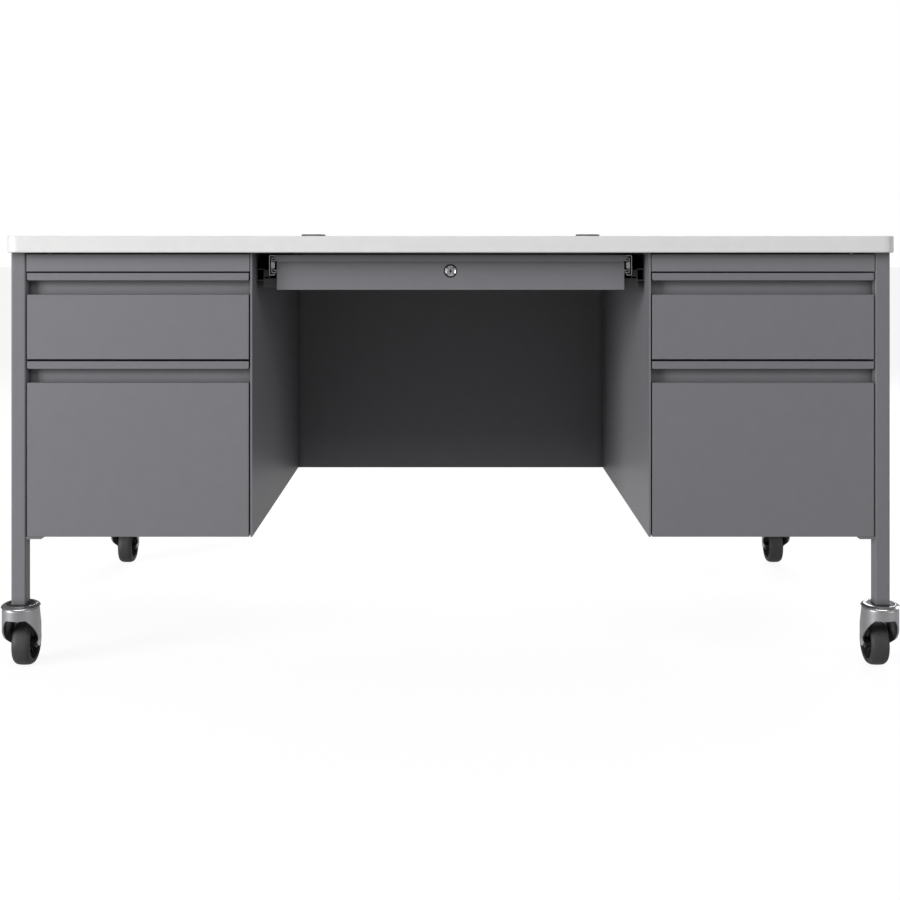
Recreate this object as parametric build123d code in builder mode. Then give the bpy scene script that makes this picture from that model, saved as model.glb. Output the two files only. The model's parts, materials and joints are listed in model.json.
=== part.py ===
from build123d import *
import os

os.makedirs("parts", exist_ok=True)

# ------------------------------------------------------------------ driving dimensions, mm
# The desk stands on the floor at z = 0 and its front faces -Y.  Left is -X and right is +X,
# as somebody standing in front of the desk sees them.

TOP_LENGTH = 1524.0
TOP_DEPTH = 762.0
TOP_THICK = 28.6
TOP_HEIGHT = 749.3  # floor to the writing surface
TOP_CORNER = 24.0  # plan radius of the four corners
BAND = 3.0  # thickness of the edge band
BAND_LOWER_ROUND = 2.6
BAND_UPPER_ROUND = 1.6

LEG = 25.4  # square tube
LEG_WALL = 1.5
LEG_CORNER = 3.0
LEG_X = 743.0  # leg centre from the middle
LEG_SETBACK = 19.0  # front edge of the top to the front of the front legs
LEG_BOTTOM = 115.5
LEG_END_PLATE = 4.0

SHEET = 1.2  # cases, rails and drawer fronts
TUB_SHEET = 1.0  # drawer tubs
KNEE_X = 340.9  # kneehole side of a pedestal
CASE_BOTTOM = 232.1
CASE_BACK = 735.0  # behind the front edge of the top
CASE_FLANGE = 20.0
KNEE_FLANGE = 3.4  # width of the folded strip beside the drawers

FRONT_INNER_X = 346.7  # drawer front, kneehole end
FRONT_OUTER_X = 728.0  # drawer front, leg end
FRONT_DEPTH = 18.0  # folded depth of a drawer front and of its finger channel
LIP_ROUND = 3.0  # lower end corners of a pull lip
BOX_LEVELS = (537.3, 648.4, 672.9, 685.7)  # face bottom, face top, lip bottom, lip top
FILE_LEVELS = (232.1, 496.8, 520.7, 533.9)
RAIL_LEVELS = (688.1, 718.2)
RAIL_END_GAP = 1.3

BOX_TUB_Z = (547.0, 652.0)
FILE_TUB_Z = (242.0, 500.0)
TUB_DEPTH = 600.0
SLIDE_HEIGHT = 45.0
SLIDE_THICK = 12.7
SLIDE_LENGTH = 558.8
SLIDE_START = 48.0  # behind the front edge of the top
BOX_SLIDE_Z = 598.0
FILE_SLIDE_Z = 372.0

CENTRE_SETBACK = 44.0  # front edge of the top to the centre drawer's lip
CENTRE_HALF = 302.7
CENTRE_LIP_HALF = 306.0
CENTRE_LEVELS = (655.7, 704.4, 716.8)  # face bottom, lip bottom, lip top
CENTRE_LIP_PROUD = 5.0
CENTRE_TUB_HALF = 301.6
CENTRE_TUB_Z = (661.0, 700.0)
CENTRE_TUB_DEPTH = 400.0
CENTRE_SLIDE_Z = 698.0
CENTRE_SLIDE_HEIGHT = 35.0
CENTRE_SLIDE_THICK = 15.6
CENTRE_SLIDE_LENGTH = 355.6

LOCK_Z = 688.5
LOCK_HOLE_R = 11.75
LOCK_R = 9.75
PLUG_R = 6.0

GROMMET_X = 309.8
GROMMET_INSET = 58.0  # from the rear edge of the top
GROMMET_HOLE_R = 25.4
GROMMET_BORE_R = 22.5
GROMMET_FLANGE_R = 30.0  # let in flush with the writing surface
GROMMET_FLANGE = 3.0
CAP_R = 26.8
CAP_THICK = 5.0
CAP_SKIRT = 12.0

MODESTY_FRONT = 678.8  # behind the front edge of the top
MODESTY_HEM = 11.6

TRAIL = 30.0  # swivel axis to wheel axle
WHEEL_R = 38.1
WHEEL_HALF = 15.9
TYRE_INNER_R = 32.0
TREAD_ROUND = 6.0
AXLE_R = 4.0
AXLE_HEAD_R = 6.2
AXLE_HEAD = 1.4
KINGPIN_R = 6.0
RUNNING = 0.05  # radial clearance of a running fit
RACE_R = 33.0
RACE_Z = (110.6, 115.3)
WASHER_R = 23.5
STEM_R = 5.5
STEM_TOP = 150.0
FORK_R = 31.1
FORK_WALL = 2.6
FORK_TOP = 110.1
CROWN_UNDERSIDE = 103.0
PLATE_HALF = 22.0  # outside of the fork's plates at the axle
PEDAL_REACH = 88.0  # swivel axis to the tip of a brake pedal
PEDAL_PIVOT = (36.0, 97.0)  # behind the swivel axis, above the floor
PEDAL_PIN_R = 2.0

# ------------------------------------------------------------------ derived positions
UNDERSIDE = TOP_HEIGHT - TOP_THICK
LEG_INSET = LEG_SETBACK + LEG / 2
# The bounding box runs from the top's front edge to the rear brake pedals' tips.
FRONT_EDGE = -(TOP_DEPTH - LEG_INSET + PEDAL_REACH) / 2


def back(distance):
    """The y of a point the given distance behind the front edge of the top."""
    return FRONT_EDGE + distance


TOP_MIDDLE = back(TOP_DEPTH / 2)
FRONT_PLANE = back(LEG_SETBACK)
CENTRE_PLANE = back(CENTRE_SETBACK)
GROMMET_Y = back(TOP_DEPTH - GROMMET_INSET)
CORNERS = {
    "front_left": (-LEG_X, back(LEG_INSET)),
    "front_right": (LEG_X, back(LEG_INSET)),
    "rear_left": (-LEG_X, back(TOP_DEPTH - LEG_INSET)),
    "rear_right": (LEG_X, back(TOP_DEPTH - LEG_INSET)),
}
SIDES = {"left": -1, "right": 1}
CASE_OUTER = LEG_X - LEG / 2  # the case stands against the legs' inner faces
SLIDE_X = (KNEE_X + SHEET, CASE_OUTER - SHEET)  # the case's inner walls carry the slides


# ------------------------------------------------------------------ helpers
def save(builder, name):
    """Label a finished piece and write it."""
    builder.part.label = name
    export_step(builder.part, f"parts/{name}.step")


def block(x, y, z, mode=Mode.ADD):
    """Add a box between the limits given along each axis."""
    middle = [sum(limits) / 2 for limits in (x, y, z)]
    size = [abs(limits[1] - limits[0]) for limits in (x, y, z)]
    with Locations(tuple(middle)):
        Box(*size, mode=mode)


def patch(u, v, mode=Mode.ADD):
    """Draw a rectangle between the limits given along each sketch axis."""
    with Locations((sum(u) / 2, sum(v) / 2)):
        Rectangle(abs(u[1] - u[0]), abs(v[1] - v[0]), mode=mode)


def span(side, near, far):
    """Two x limits, mirrored to the left when side is -1."""
    return (side * near, side * far)


def side_plane(x, y, z=0.0):
    """A sketch plane seen from +X: its own x runs back along Y and its own y runs up."""
    return Plane(origin=(x, y, z), x_dir=(0, 1, 0), z_dir=(1, 0, 0))


def section_plane(x, y, z, direction):
    """An upright plane across Y whose own x runs towards direction and whose own y runs up."""
    return Plane(origin=(x, y, z), x_dir=(direction, 0, 0), z_dir=(0, -direction, 0))


# ------------------------------------------------------------------ worktop
with BuildPart() as desk_top:
    with BuildSketch(Plane((0, TOP_MIDDLE, UNDERSIDE))):
        RectangleRounded(TOP_LENGTH - 2 * BAND, TOP_DEPTH - 2 * BAND, TOP_CORNER - BAND)
        with Locations(*[(x, GROMMET_Y - TOP_MIDDLE) for x in (-GROMMET_X, GROMMET_X)]):
            Circle(GROMMET_HOLE_R, mode=Mode.SUBTRACT)
    extrude(amount=TOP_THICK)
    with BuildSketch(Plane((0, GROMMET_Y, TOP_HEIGHT))):
        with Locations((-GROMMET_X, 0), (GROMMET_X, 0)):
            Circle(GROMMET_FLANGE_R + RUNNING)
    extrude(amount=-GROMMET_FLANGE, mode=Mode.SUBTRACT)
save(desk_top, "desk_top")

with BuildPart() as edge_band:
    with BuildSketch(Plane((0, TOP_MIDDLE, UNDERSIDE))):
        RectangleRounded(TOP_LENGTH, TOP_DEPTH, TOP_CORNER)
        RectangleRounded(
            TOP_LENGTH - 2 * BAND, TOP_DEPTH - 2 * BAND, TOP_CORNER - BAND, mode=Mode.SUBTRACT
        )
    extrude(amount=TOP_THICK)
    fillet(edge_band.faces().sort_by(Axis.Z)[-1].outer_wire().edges(), BAND_UPPER_ROUND)
    fillet(edge_band.faces().sort_by(Axis.Z)[0].outer_wire().edges(), BAND_LOWER_ROUND)
save(edge_band, "edge_band")

# ------------------------------------------------------------------ cable grommets
FLANGE_SINK = 0.2  # the flange's face below the writing surface
with BuildPart() as grommet_sleeves:
    for x in (-GROMMET_X, GROMMET_X):
        with BuildSketch(Plane((x, GROMMET_Y, UNDERSIDE))):
            Circle(GROMMET_HOLE_R - RUNNING)
            Circle(GROMMET_BORE_R, mode=Mode.SUBTRACT)
        extrude(amount=TOP_THICK - FLANGE_SINK)
        with BuildSketch(Plane((x, GROMMET_Y, TOP_HEIGHT - FLANGE_SINK))):
            Circle(GROMMET_FLANGE_R)
            Circle(GROMMET_BORE_R, mode=Mode.SUBTRACT)
        extrude(amount=FLANGE_SINK - GROMMET_FLANGE)
save(grommet_sleeves, "grommet_sleeves")


def grommet_cap(name, x):
    """A lift-off cap with a skirt in the sleeve's bore and a cable notch at the back."""
    underside = TOP_HEIGHT + 0.3
    with BuildPart() as cap:
        with BuildSketch(Plane((x, GROMMET_Y, underside))):
            Circle(CAP_R)
        extrude(amount=CAP_THICK)
        fillet(cap.faces().sort_by(Axis.Z)[-1].edges(), 2.0)
        with BuildSketch(Plane((x, GROMMET_Y, underside - CAP_SKIRT))):
            Circle(GROMMET_BORE_R - 0.3)
            Circle(GROMMET_BORE_R - 2.3, mode=Mode.SUBTRACT)
        extrude(amount=CAP_SKIRT)
        with BuildSketch(Plane((x, GROMMET_Y + CAP_R, underside - CAP_SKIRT - 1))):
            SlotCenterToCenter(22.0, 14.0, rotation=90)
        extrude(amount=CAP_SKIRT + CAP_THICK + 2, mode=Mode.SUBTRACT)
    save(cap, name)


grommet_cap("left_grommet_cap", -GROMMET_X)
grommet_cap("right_grommet_cap", GROMMET_X)


# ------------------------------------------------------------------ legs
def leg(name, x, y):
    """A square tube with a welded end plate that takes the caster's stem."""
    with BuildPart() as tube:
        inside = LEG - 2 * LEG_WALL
        with BuildSketch(Plane((x, y, LEG_BOTTOM))):
            RectangleRounded(LEG, LEG, LEG_CORNER)
            RectangleRounded(inside, inside, LEG_CORNER - LEG_WALL, mode=Mode.SUBTRACT)
        extrude(amount=UNDERSIDE - LEG_BOTTOM)
        with BuildSketch(Plane((x, y, LEG_BOTTOM))):
            Rectangle(inside, inside)
            Circle(STEM_R, mode=Mode.SUBTRACT)
        extrude(amount=LEG_END_PLATE)
    save(tube, name)


for corner, (x, y) in CORNERS.items():
    leg(f"{corner}_leg", x, y)

# ------------------------------------------------------------------ pedestal cases
FLANGE_SCREW_Y = [back(distance) for distance in (110.0, 380.0, 650.0)]
FLANGE_SCREW_X = (KNEE_X + SHEET + CASE_FLANGE / 2, CASE_OUTER - SHEET - CASE_FLANGE / 2)
SCREW_R = 2.2


def pedestal_case(name, side):
    """Two sheet walls, a back and a bottom, with turned-in flanges under the worktop."""
    rear = back(CASE_BACK)
    with BuildPart() as case:
        knee = span(side, KNEE_X, KNEE_X + SHEET)
        outer = span(side, CASE_OUTER - SHEET, CASE_OUTER)
        block(knee, (FRONT_PLANE, rear), (CASE_BOTTOM, UNDERSIDE))
        block(
            span(side, KNEE_X, KNEE_X + KNEE_FLANGE),
            (FRONT_PLANE, FRONT_PLANE + SHEET),
            (CASE_BOTTOM, UNDERSIDE),
        )
        block(outer, (FRONT_PLANE + 4.0, rear), (CASE_BOTTOM, UNDERSIDE))
        block(
            span(side, KNEE_X, CASE_OUTER),
            (FRONT_PLANE + FRONT_DEPTH + 4.0, rear),
            (CASE_BOTTOM, CASE_BOTTOM + SHEET),
        )
        block(span(side, KNEE_X, CASE_OUTER), (rear - SHEET, rear), (CASE_BOTTOM, UNDERSIDE))
        for near in (KNEE_X + SHEET, CASE_OUTER - SHEET - CASE_FLANGE):
            block(
                span(side, near, near + CASE_FLANGE),
                (back(60.0), rear),
                (UNDERSIDE - SHEET, UNDERSIDE),
            )
        with BuildSketch(Plane.XY.offset(UNDERSIDE - 2 * SHEET)):
            with Locations(*[(side * x, y) for x in FLANGE_SCREW_X for y in FLANGE_SCREW_Y]):
                Circle(SCREW_R + 0.3)
        extrude(amount=3 * SHEET, mode=Mode.SUBTRACT)
    save(case, name)


for word, side in SIDES.items():
    pedestal_case(f"{word}_pedestal_case", side)

# A channel-shaped rail closes each pedestal above its box drawer.
with BuildPart() as pedestal_top_rails:
    for side in SIDES.values():
        width = span(side, KNEE_X + KNEE_FLANGE + 1.4, CASE_OUTER - RAIL_END_GAP)
        low, high = RAIL_LEVELS
        block(width, (FRONT_PLANE, FRONT_PLANE + SHEET), (low, high))
        block(width, (FRONT_PLANE, FRONT_PLANE + FRONT_DEPTH), (low, low + SHEET))
        block(width, (FRONT_PLANE, FRONT_PLANE + FRONT_DEPTH), (high - SHEET, high))
    fillet(pedestal_top_rails.edges().filter_by(Axis.X).group_by(Axis.Y)[0], 1.0)
save(pedestal_top_rails, "pedestal_top_rails")

# ------------------------------------------------------------------ modesty panel
with BuildPart() as modesty_panel:
    face = back(MODESTY_FRONT)
    block((-KNEE_X, KNEE_X), (face, face + SHEET), (CASE_BOTTOM, UNDERSIDE))
    block((-KNEE_X, KNEE_X), (face, face + CASE_FLANGE), (CASE_BOTTOM, CASE_BOTTOM + SHEET))
    block(
        (-KNEE_X, KNEE_X),
        (face + CASE_FLANGE - SHEET, face + CASE_FLANGE),
        (CASE_BOTTOM, CASE_BOTTOM + MODESTY_HEM),
    )
    for side in SIDES.values():
        block(
            span(side, KNEE_X - SHEET, KNEE_X),
            (face, face + CASE_FLANGE),
            (CASE_BOTTOM, UNDERSIDE),
        )
    # the top flange points forward, clear of the grommets
    block((-KNEE_X, KNEE_X), (face + SHEET - CASE_FLANGE, face), (UNDERSIDE - SHEET, UNDERSIDE))
save(modesty_panel, "modesty_panel")

# ------------------------------------------------------------------ leg brackets
# A chamfered plate under each corner of a pedestal ties its bottom to the leg.
BRACKET_REACH = 29.0
BRACKET_THICK = 4.2
with BuildPart() as leg_brackets:
    for x, y in CORNERS.values():
        side = 1 if x > 0 else -1
        inner = side * (CASE_OUTER - BRACKET_REACH)
        wall = side * CASE_OUTER
        with BuildSketch(Plane.XY.offset(CASE_BOTTOM - BRACKET_THICK)):
            with BuildLine():
                Polyline(
                    (wall, y - LEG / 2 + 1),
                    (inner, y - LEG / 2 + 1),
                    (inner, y + LEG / 2 - 6),
                    (wall - side * 8, y + LEG / 2 + 10),
                    (wall, y + LEG / 2 + 10),
                    close=True,
                )
            make_face()
        extrude(amount=BRACKET_THICK)
    chamfer(leg_brackets.edges().filter_by(Axis.Y).group_by(Axis.Z)[0].sort_by(Axis.X)[1:-1], 2.4)
save(leg_brackets, "leg_brackets")


# ------------------------------------------------------------------ ball-bearing slides
# Each slide has three nested channels: outer on the case, middle, and inner on the drawer.
# Sizes across a slide are measured from the wall it is fixed to.
BALL_GAP = 3.0


def slide_outline(member, height, thick):
    """Draw one member's section, with the balls' gap left above and below it."""
    half = height / 2
    if member == "outer":
        patch((0, 1.2), (-half, half))
        near, far, top = 0, 0.62 * thick, half
    elif member == "middle":
        top = half - 1.2 - BALL_GAP
        near, far = 0.26 * thick, 0.8 * thick
        patch((near, near + 1.0), (-top, top))
    else:
        top = half - 2.4 - 2 * BALL_GAP
        near, far = 0.45 * thick, thick
        patch((far - 1.2, far), (-top, top))
    for sign in (-1, 1):
        patch((near, far), (sign * (top - 1.2), sign * top))


def slide_pair(name, member, walls, z, size, start):
    """The same member of the left and right slide of one drawer."""
    height, thick, length = size
    with BuildPart() as pair:
        for x, direction in walls:
            with BuildSketch(section_plane(x, start, z, direction)):
                slide_outline(member, height, thick)
            extrude(amount=-direction * length)
    save(pair, name)


def pedestal_walls(side):
    """The two case walls that carry a pedestal drawer's slides, and the way each one faces."""
    return [(side * SLIDE_X[0], side), (side * SLIDE_X[1], -side)]


PEDESTAL_SLIDE = (SLIDE_HEIGHT, SLIDE_THICK, SLIDE_LENGTH)
CENTRE_SLIDE = (CENTRE_SLIDE_HEIGHT, CENTRE_SLIDE_THICK, CENTRE_SLIDE_LENGTH)
CENTRE_SLIDE_WALL = CENTRE_TUB_HALF + CENTRE_SLIDE_THICK
CENTRE_WALLS = [(-CENTRE_SLIDE_WALL, 1), (CENTRE_SLIDE_WALL, -1)]
CENTRE_SLIDE_START = back(CENTRE_SETBACK + 14.0)

with BuildPart() as slide_outer_members:
    for side in SIDES.values():
        for z in (BOX_SLIDE_Z, FILE_SLIDE_Z):
            for x, direction in pedestal_walls(side):
                with BuildSketch(section_plane(x, back(SLIDE_START), z, direction)):
                    slide_outline("outer", SLIDE_HEIGHT, SLIDE_THICK)
                extrude(amount=-direction * SLIDE_LENGTH)
    for x, direction in CENTRE_WALLS:
        with BuildSketch(section_plane(x, CENTRE_SLIDE_START, CENTRE_SLIDE_Z, direction)):
            slide_outline("outer", CENTRE_SLIDE_HEIGHT, CENTRE_SLIDE_THICK)
        extrude(amount=-direction * CENTRE_SLIDE_LENGTH)
save(slide_outer_members, "slide_outer_members")

for word, side in SIDES.items():
    for drawer, z in (("box", BOX_SLIDE_Z), ("file", FILE_SLIDE_Z)):
        for member in ("middle", "inner"):
            slide_pair(
                f"{word}_{drawer}_{member}_slides",
                member,
                pedestal_walls(side),
                z,
                PEDESTAL_SLIDE,
                back(SLIDE_START),
            )
for member in ("middle", "inner"):
    slide_pair(
        f"centre_{member}_slides",
        member,
        CENTRE_WALLS,
        CENTRE_SLIDE_Z,
        CENTRE_SLIDE,
        CENTRE_SLIDE_START,
    )


# ------------------------------------------------------------------ pedestal drawers
def drawer_front(name, side, levels):
    """A folded sheet front: face, finger channel and pull lip in one piece."""
    bottom, face_top, lip_bottom, lip_top = levels
    left = min(span(side, FRONT_INNER_X, FRONT_OUTER_X))
    width = FRONT_OUTER_X - FRONT_INNER_X
    with BuildPart() as front:
        with BuildSketch(side_plane(left, FRONT_PLANE)):
            patch((0, SHEET), (bottom, face_top))
            patch((0, FRONT_DEPTH), (bottom, bottom + SHEET))
            patch((0, FRONT_DEPTH), (face_top - SHEET, face_top))
            patch((FRONT_DEPTH - SHEET, FRONT_DEPTH), (face_top - SHEET, lip_bottom + SHEET))
            patch((0, FRONT_DEPTH), (lip_bottom, lip_bottom + SHEET))
            patch((0, SHEET), (lip_bottom, lip_top))
            patch((0, FRONT_DEPTH), (lip_top - SHEET, lip_top))
        extrude(amount=width)
        for x in (left, left + width - SHEET):
            block((x, x + SHEET), (FRONT_PLANE, FRONT_PLANE + FRONT_DEPTH), (bottom, face_top))
            block((x, x + SHEET), (FRONT_PLANE, FRONT_PLANE + FRONT_DEPTH), (lip_bottom, lip_top))
        lip_corners = front.edges().filter_by(Axis.Y).filter_by_position(
            Axis.Z, lip_bottom - 0.01, lip_bottom + 0.01
        )
        fillet(lip_corners, LIP_ROUND)
        fillet(front.edges().group_by(Axis.Y)[0], 0.9)
    save(front, name)


def tub(name, x, y, z):
    """An open-topped sheet drawer body."""
    with BuildPart() as body:
        block(x, y, z)
        inner_x = (min(x) + TUB_SHEET, max(x) - TUB_SHEET)
        inner_y = (y[0] + TUB_SHEET, y[1] - TUB_SHEET)
        block(inner_x, inner_y, (z[0] + TUB_SHEET, z[1] + 1), mode=Mode.SUBTRACT)
    save(body, name)


TUB_X = (SLIDE_X[0] + SLIDE_THICK, SLIDE_X[1] - SLIDE_THICK)
TUB_Y = (FRONT_PLANE + FRONT_DEPTH, FRONT_PLANE + FRONT_DEPTH + TUB_DEPTH)
HANGER_SPACING = 316.0  # letter-size hanging files
HANGER_HEIGHT = 14.0
HANGER_THICK = 2.5


def hanging_rails(name, side):
    """Two flat bars along the drawer that carry hanging files."""
    middle = side * sum(TUB_X) / 2
    low = FILE_TUB_Z[1] - 1 - HANGER_HEIGHT
    with BuildPart() as rails:
        for offset in (-HANGER_SPACING / 2, HANGER_SPACING / 2):
            block(
                (middle + offset - HANGER_THICK / 2, middle + offset + HANGER_THICK / 2),
                (TUB_Y[0] + TUB_SHEET, TUB_Y[1] - TUB_SHEET),
                (low, low + HANGER_HEIGHT),
            )
    save(rails, name)


for word, side in SIDES.items():
    drawer_front(f"{word}_box_front", side, BOX_LEVELS)
    drawer_front(f"{word}_file_front", side, FILE_LEVELS)
    tub(f"{word}_box_tub", span(side, *TUB_X), TUB_Y, BOX_TUB_Z)
    tub(f"{word}_file_tub", span(side, *TUB_X), TUB_Y, FILE_TUB_Z)
    hanging_rails(f"{word}_file_hanging_rails", side)

# ------------------------------------------------------------------ centre drawer
CENTRE_FACE = CENTRE_PLANE + CENTRE_LIP_PROUD
with BuildPart() as centre_front:
    bottom, lip_bottom, lip_top = CENTRE_LEVELS
    block((-CENTRE_HALF, CENTRE_HALF), (CENTRE_FACE, CENTRE_FACE + SHEET), (bottom, lip_bottom))
    block(
        (-CENTRE_HALF, CENTRE_HALF),
        (CENTRE_FACE, CENTRE_FACE + 9.0),
        (bottom, bottom + SHEET),
    )
    # the lip is folded forward; its ends are cut back towards the face
    with BuildSketch(section_plane(0, CENTRE_PLANE, 0, 1)):
        with BuildLine():
            Polyline(
                (-CENTRE_LIP_HALF, lip_top),
                (CENTRE_LIP_HALF, lip_top),
                (CENTRE_HALF - 2.0, lip_bottom),
                (2.0 - CENTRE_HALF, lip_bottom),
                close=True,
            )
        make_face()
    extrude(amount=-9.0)
    block(
        (-CENTRE_HALF, CENTRE_HALF),
        (CENTRE_PLANE + SHEET, CENTRE_FACE + 9.0),
        (lip_bottom + SHEET, lip_top - SHEET),
        mode=Mode.SUBTRACT,
    )
    fillet(centre_front.edges().filter_by(Axis.X).group_by(Axis.Y)[0], 1.0)
    with BuildSketch(section_plane(0, CENTRE_FACE, LOCK_Z, 1)):
        Circle(LOCK_HOLE_R)
    extrude(amount=-5.0, mode=Mode.SUBTRACT)
save(centre_front, "centre_front")

CENTRE_TUB_Y = (CENTRE_FACE + 9.0, CENTRE_FACE + 9.0 + CENTRE_TUB_DEPTH)
with BuildPart() as centre_tub:
    low, high = CENTRE_TUB_Z
    x = (-CENTRE_TUB_HALF, CENTRE_TUB_HALF)
    block(x, CENTRE_TUB_Y, (low, high))
    block(
        (x[0] + TUB_SHEET, x[1] - TUB_SHEET),
        (CENTRE_TUB_Y[0] + TUB_SHEET, CENTRE_TUB_Y[1] - TUB_SHEET),
        (low + TUB_SHEET, high + 1),
        mode=Mode.SUBTRACT,
    )
    # the sides rise above the front and back walls to carry the slides' full height
    for side in SIDES.values():
        block(
            span(side, CENTRE_TUB_HALF - TUB_SHEET, CENTRE_TUB_HALF),
            CENTRE_TUB_Y,
            (high, CENTRE_SLIDE_Z + CENTRE_SLIDE_HEIGHT / 2 - 2.0),
        )
    # notch for the lock's barrel and cam
    block((-16, 16), (CENTRE_TUB_Y[0] - 1, CENTRE_TUB_Y[0] + 3), (672.0, high + 1), mode=Mode.SUBTRACT)
save(centre_tub, "centre_tub")

# ------------------------------------------------------------------ centre drawer brackets
# A stepped sheet bracket on each pedestal wall: a box step, an upright that carries the
# slide and a foot under it.
BRACKET_SHEET = 1.5
STEP_X = (326.6, KNEE_X)
STEP_Z = (671.0, 692.0)
FOOT_X = (303.6, 328.6)
FOOT_Z = (659.0, 675.0)
BRACKET_START = back(CENTRE_SETBACK + 22.0)
BRACKET_LENGTH = 345.0


def box_channel(u, v):
    """Draw a closed rectangular channel section."""
    patch(u, v)
    inner_u = (u[0] + BRACKET_SHEET, u[1] - BRACKET_SHEET)
    inner_v = (v[0] + BRACKET_SHEET, v[1] - BRACKET_SHEET)
    patch(inner_u, inner_v, mode=Mode.SUBTRACT)


with BuildPart() as centre_drawer_brackets:
    for side in SIDES.values():
        with BuildSketch(section_plane(0, BRACKET_START, 0, side)):
            box_channel(STEP_X, STEP_Z)
            patch((CENTRE_SLIDE_WALL, CENTRE_SLIDE_WALL + BRACKET_SHEET), (FOOT_Z[1] - 2, 716.0))
            patch((CENTRE_SLIDE_WALL, STEP_X[0]), (STEP_Z[1] - 14.0, STEP_Z[1] - 2.0))
            patch(FOOT_X, FOOT_Z)
        extrude(amount=-side * BRACKET_LENGTH)
save(centre_drawer_brackets, "centre_drawer_brackets")

# ------------------------------------------------------------------ lock
LOCK_FACE = CENTRE_FACE + 0.4
with BuildPart() as lock_housing:
    with BuildSketch(section_plane(0, LOCK_FACE, LOCK_Z, 1)):
        Circle(LOCK_R)
        Circle(PLUG_R + RUNNING, mode=Mode.SUBTRACT)
    extrude(amount=-17.0)
    with BuildSketch(section_plane(0, CENTRE_FACE + SHEET, LOCK_Z, 1)):
        Circle(LOCK_HOLE_R + 2.5)
        Circle(PLUG_R + RUNNING, mode=Mode.SUBTRACT)
    extrude(amount=-2.0)
save(lock_housing, "lock_housing")

with BuildPart() as lock_plug:
    with BuildSketch(section_plane(0, LOCK_FACE - 0.3, LOCK_Z, 1)):
        Circle(PLUG_R)
    extrude(amount=-20.0)
    # keyway
    with BuildSketch(section_plane(0, LOCK_FACE - 0.3, LOCK_Z, 1)):
        patch((-0.7, 0.7), (-3.4, 3.4))
    extrude(amount=-6.0, mode=Mode.SUBTRACT)
    # cam on the back end, lying flat when the drawer is unlocked
    with BuildSketch(section_plane(0, LOCK_FACE + 17.4, LOCK_Z, 1)):
        with BuildLine():
            Polyline((-4, -5.5), (19, -4), (19, 4), (-4, 5.5), close=True)
        make_face()
        Circle(PLUG_R + 1.5)
    extrude(amount=-2.2)
save(lock_plug, "lock_plug")


# ------------------------------------------------------------------ casters
# The fixed half of each caster: stem in the leg, washer, raceway ring and riveted kingpin.
with BuildPart() as caster_raceways:
    for x, y in CORNERS.values():
        with BuildSketch(Plane(origin=(x, y, 0), x_dir=(1, 0, 0), z_dir=(0, -1, 0))):
            with BuildLine():
                Polyline(
                    (0, 96.0),
                    (10.0, 96.0),
                    (10.0, 99.0),
                    (KINGPIN_R, 102.6),
                    (KINGPIN_R, RACE_Z[0]),
                    (RACE_R - 0.6, RACE_Z[0]),
                    (RACE_R, RACE_Z[0] + 0.6),
                    (RACE_R - 0.6, RACE_Z[0] + 1.8),
                    (RACE_R - 3.0, RACE_Z[1] - 1.3),
                    (RACE_R - 6.0, RACE_Z[1] - 0.3),
                    (WASHER_R, RACE_Z[1]),
                    (WASHER_R, LEG_BOTTOM),
                    (STEM_R, LEG_BOTTOM),
                    (STEM_R, STEM_TOP),
                    (0, STEM_TOP),
                    close=True,
                )
            make_face()
        revolve(axis=Axis((x, y, 0), (0, 0, 1)))
save(caster_raceways, "caster_raceways")


def fork_outline(inset):
    """Draw the fork's plan: round about the kingpin, narrowing to two parallel plates."""
    Circle(FORK_R - inset)
    shoulder = FORK_R - 0.9 - inset
    plate = PLATE_HALF - inset
    Polygon(
        (-shoulder, 7.0),
        (-plate, TRAIL - 7.0),
        (-plate, TRAIL + 14.0),
        (plate, TRAIL + 14.0),
        (plate, TRAIL - 7.0),
        (shoulder, 7.0),
        align=None,
    )


def fork(name, x, y, braked):
    """A hooded fork.  Braked ones have two ears and a pin for the pedal."""
    with BuildPart() as body:
        with BuildSketch(Plane((x, y, 20.0))):
            fork_outline(0)
        extrude(amount=FORK_TOP - 20.0)
        fillet(body.faces().sort_by(Axis.Z)[-1].edges(), 2.0)
        with BuildSketch(side_plane(x, y)):
            with BuildLine():
                Polyline(
                    (FORK_R + 2, FORK_TOP + 1),
                    (-FORK_R - 1, FORK_TOP + 1),
                    (-FORK_R - 1, 94.5),
                    (-19.8, 82.5),
                    (-9.6, 68.0),
                    (8.0, 51.0),
                    (TRAIL - 8.5, 37.5),
                )
                ThreePointArc((TRAIL - 8.5, 37.5), (TRAIL + 1.5, 31.4), (TRAIL + 11.5, 37.5))
                Polyline((TRAIL + 11.5, 37.5), (TRAIL + 12.5, 46.0), (FORK_R + 2, FORK_TOP + 1))
            make_face()
        extrude(amount=FORK_R + 1, both=True, mode=Mode.INTERSECT)
        with BuildSketch(Plane((x, y, 19.0))):
            fork_outline(FORK_WALL)
            patch((FORK_WALL - PLATE_HALF, PLATE_HALF - FORK_WALL), (TRAIL, TRAIL + 20.0))
        extrude(amount=CROWN_UNDERSIDE - 19.0, mode=Mode.SUBTRACT)
        with BuildSketch(Plane((x, y, CROWN_UNDERSIDE - 1))):
            Circle(KINGPIN_R + RUNNING)
        extrude(amount=20.0, mode=Mode.SUBTRACT)
        if braked:
            pivot_y, pivot_z = PEDAL_PIVOT
            for near in (-15.5, 13.0):
                block((x + near, x + near + 2.5), (y + 16, y + pivot_y + 5), (92.0, FORK_TOP - 3))
            with BuildSketch(side_plane(x, y + pivot_y, pivot_z)):
                Circle(PEDAL_PIN_R)
            extrude(amount=13.5, both=True)
        with BuildSketch(side_plane(x, y + TRAIL, WHEEL_R)):
            Circle(AXLE_R)
        extrude(amount=FORK_R, both=True, mode=Mode.SUBTRACT)
    save(body, name)


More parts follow.
